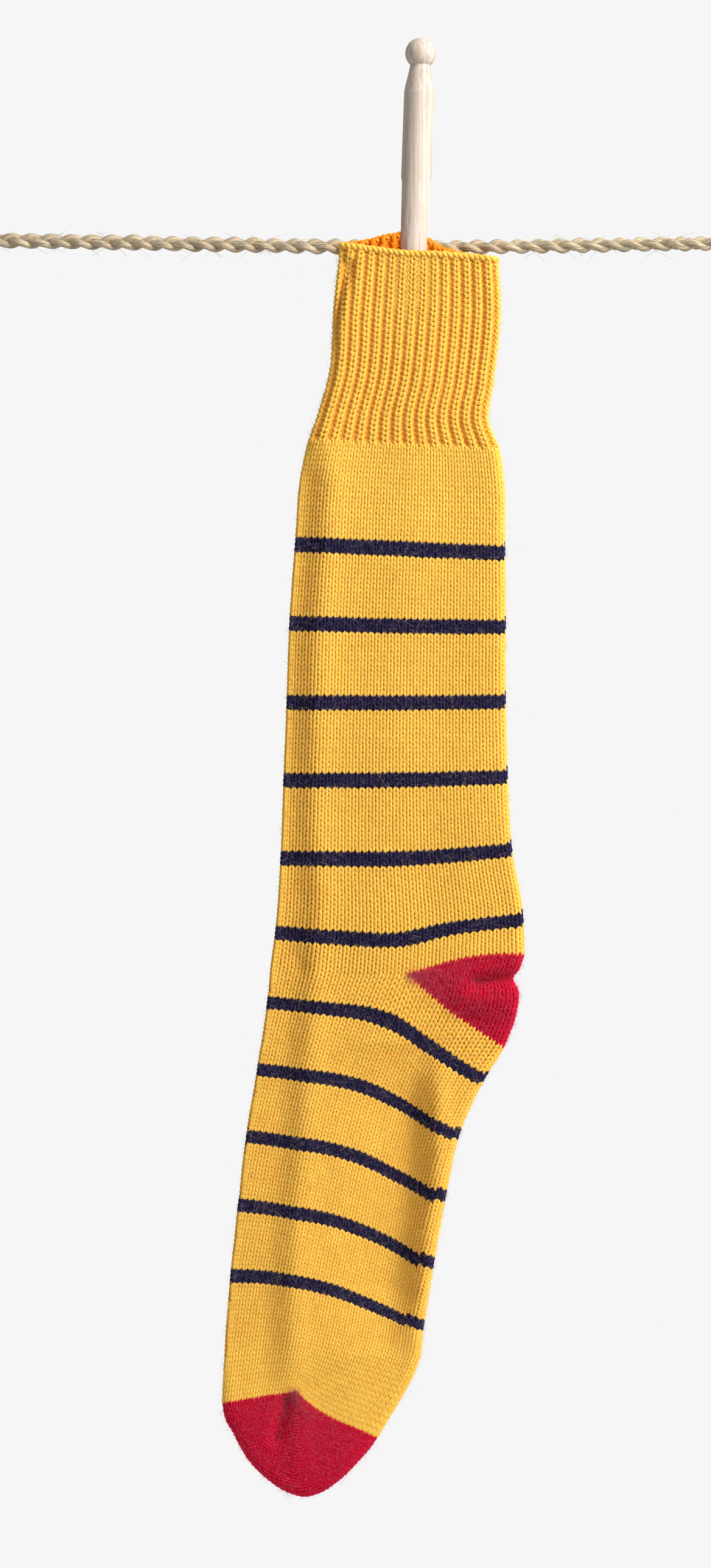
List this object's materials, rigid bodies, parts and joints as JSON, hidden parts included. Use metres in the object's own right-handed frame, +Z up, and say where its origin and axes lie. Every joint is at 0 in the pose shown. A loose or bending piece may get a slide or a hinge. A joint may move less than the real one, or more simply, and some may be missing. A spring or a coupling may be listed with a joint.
{
  "type": "pegged sock",
  "caption": "Knitted striped knee sock with a ribbed cuff and contrast heel and toe, hung on a plaited sisal line by a turned wooden dolly peg.",
  "frame": {"origin": "centre of the left eye's thimble hole, on the line's own plane", "axes": "+Z up, +X along the line from the left eye to the right, the sock's visible front faces -Y"},
  "size_m": [0.4035, 0.0203, 0.6244],
  "materials": {
    "sisal": "plaited sisal, dry and slightly hairy",
    "twine": "tarred twine, tightly wound",
    "zinc": "galvanised steel",
    "birch": "turned, sanded, unvarnished",
    "yellow_wool": "hand-knitted wool",
    "navy_wool": "hand-knitted wool, hairy",
    "red_wool": "hand-knitted wool"
  },
  "bodies": {
    "line": {"line": "sisal", "line_eye_left": "sisal", "line_eye_right": "sisal", "seizing_left": "twine", "seizing_right": "twine", "thimble_left": "zinc", "thimble_right": "zinc"},
    "leg": {"cuff_rib": "yellow_wool", "plain_band_01": "yellow_wool", "plain_band_02": "yellow_wool", "plain_band_03": "yellow_wool", "plain_band_04": "yellow_wool", "plain_band_05": "yellow_wool", "plain_band_06": "yellow_wool", "stripe_01": "navy_wool", "stripe_02": "navy_wool", "stripe_03": "navy_wool", "stripe_04": "navy_wool", "stripe_05": "navy_wool"},
    "foot": {"stripe_06": "navy_wool", "stripe_07": "navy_wool", "stripe_08": "navy_wool", "stripe_09": "navy_wool", "stripe_10": "navy_wool", "stripe_11": "navy_wool", "plain_band_07": "yellow_wool", "plain_band_08": "yellow_wool", "plain_band_09": "yellow_wool", "plain_band_10": "yellow_wool", "plain_band_11": "yellow_wool", "plain_band_12": "yellow_wool", "heel_cup": "red_wool", "toe_cap": "red_wool"},
    "peg": {"dolly_peg": "birch"}
  },
  "joints": [
    {"name": "line_swing", "type": "hinge", "parent": "line", "child": "leg", "pos_m": [0.2128, 0, -0.00045], "axis": [1, 0, 0], "range_deg": [-30, 30]},
    {"name": "ankle_bend", "type": "hinge", "parent": "leg", "child": "foot", "pos_m": [0.2, -0.0081, -0.27695], "axis": [1, 0, 0], "range_deg": [-35, 35], "stiffness_Nm_per_rad": 0.02, "deforming": ["plain_band_06"]},
    {"name": "peg_pull", "type": "slide", "parent": "leg", "child": "peg", "axis": [0.0349, 0, 0.9994], "range_m": [0, 0.045]}
  ]
}
